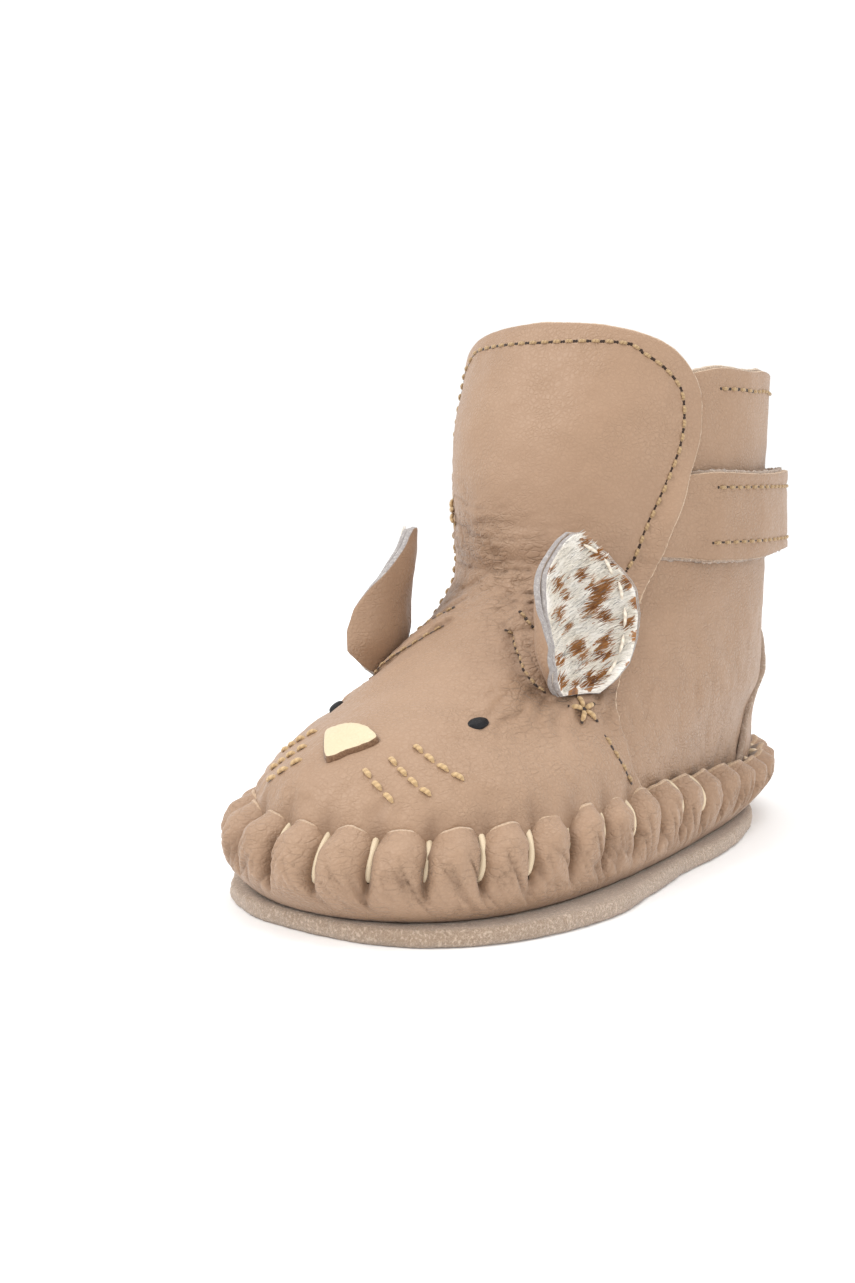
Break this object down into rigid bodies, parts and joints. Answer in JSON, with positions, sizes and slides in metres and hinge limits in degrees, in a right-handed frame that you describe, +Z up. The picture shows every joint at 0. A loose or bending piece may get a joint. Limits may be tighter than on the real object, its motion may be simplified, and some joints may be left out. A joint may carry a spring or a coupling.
{
  "type": "baby bootie",
  "caption": "Soft leather baby bootie with a gathered moccasin sole, a fold-down tongue flap, an ankle strap and an animal face with fur-lined ears.",
  "frame": {"origin": "middle of the outsole's flat ground face, under the foot", "axes": "+Z up, toe towards -Y, outer side of the foot towards +X"},
  "size_m": [0.074, 0.1474, 0.0981],
  "materials": {
    "leather": "soft nappa, satin",
    "sole_suede": "rough suede",
    "suede_back": "raw flesh side",
    "lining": "soft pigskin lining",
    "insole_felt": "felted wool",
    "fastener_pile": "hook and loop",
    "nose_leather": "cream leather",
    "eye_black": "black leather, satin",
    "thread": "twisted sewing thread",
    "waxed_lace": "thick waxed thread",
    "ear_fur": "short spotted hair"
  },
  "bodies": {
    "bootie": {"collar_stitches": "thread", "dart_stitches": "thread", "eye_inner": "eye_black", "eye_outer": "eye_black", "heel_patch": "leather", "insole": "insole_felt", "lacing_thread": "waxed_lace", "loop_pad": "fastener_pile", "moccasin_wrap": "leather", "nose_patch": "nose_leather", "outsole": "sole_suede", "quarter": "leather", "quarter_lining": "lining", "seam_bartacks": "thread", "seam_stitches": "thread", "strap_band": "leather", "strap_band_lining": "suede_back", "strap_band_stitches": "thread", "vamp": "leather", "vamp_lining": "lining", "whisker_stitches": "thread"},
    "tongue": {"tongue_flap": "leather", "tongue_lining": "lining", "flap_stitches": "thread"},
    "strap_tab": {"strap_end": "leather", "strap_end_lining": "suede_back", "strap_end_stitches": "thread", "hook_pad": "fastener_pile"},
    "ear_outer": {"ear_outer_leather": "leather", "ear_outer_fur": "ear_fur", "ear_outer_stitches": "thread"},
    "ear_inner": {"ear_inner_leather": "leather", "ear_inner_fur": "ear_fur", "ear_inner_stitches": "thread"}
  },
  "joints": [
    {"name": "tongue_fold", "type": "hinge", "parent": "bootie", "child": "tongue", "pos_m": [0, -0.0082, 0.0562], "axis": [0.9259, 0, -0.3778], "range_deg": [0, 55], "stiffness_Nm_per_rad": 0.004},
    {"name": "strap_peel", "type": "hinge", "parent": "bootie", "child": "strap_tab", "pos_m": [0.0268, 0.052, 0.063], "axis": [0, 0, 1], "range_deg": [0, 80], "stiffness_Nm_per_rad": 0.0008},
    {"name": "ear_outer_bend", "type": "hinge", "parent": "bootie", "child": "ear_outer", "pos_m": [0.0225, -0.0165, 0.034], "axis": [0.4067, 0.9135, 0], "range_deg": [-5, 30], "stiffness_Nm_per_rad": 0.0008},
    {"name": "ear_inner_bend", "type": "hinge", "parent": "bootie", "child": "ear_inner", "pos_m": [-0.0205, -0.0165, 0.034], "axis": [0.4067, -0.9135, 0], "range_deg": [0, 30], "stiffness_Nm_per_rad": 0.0008}
  ]
}
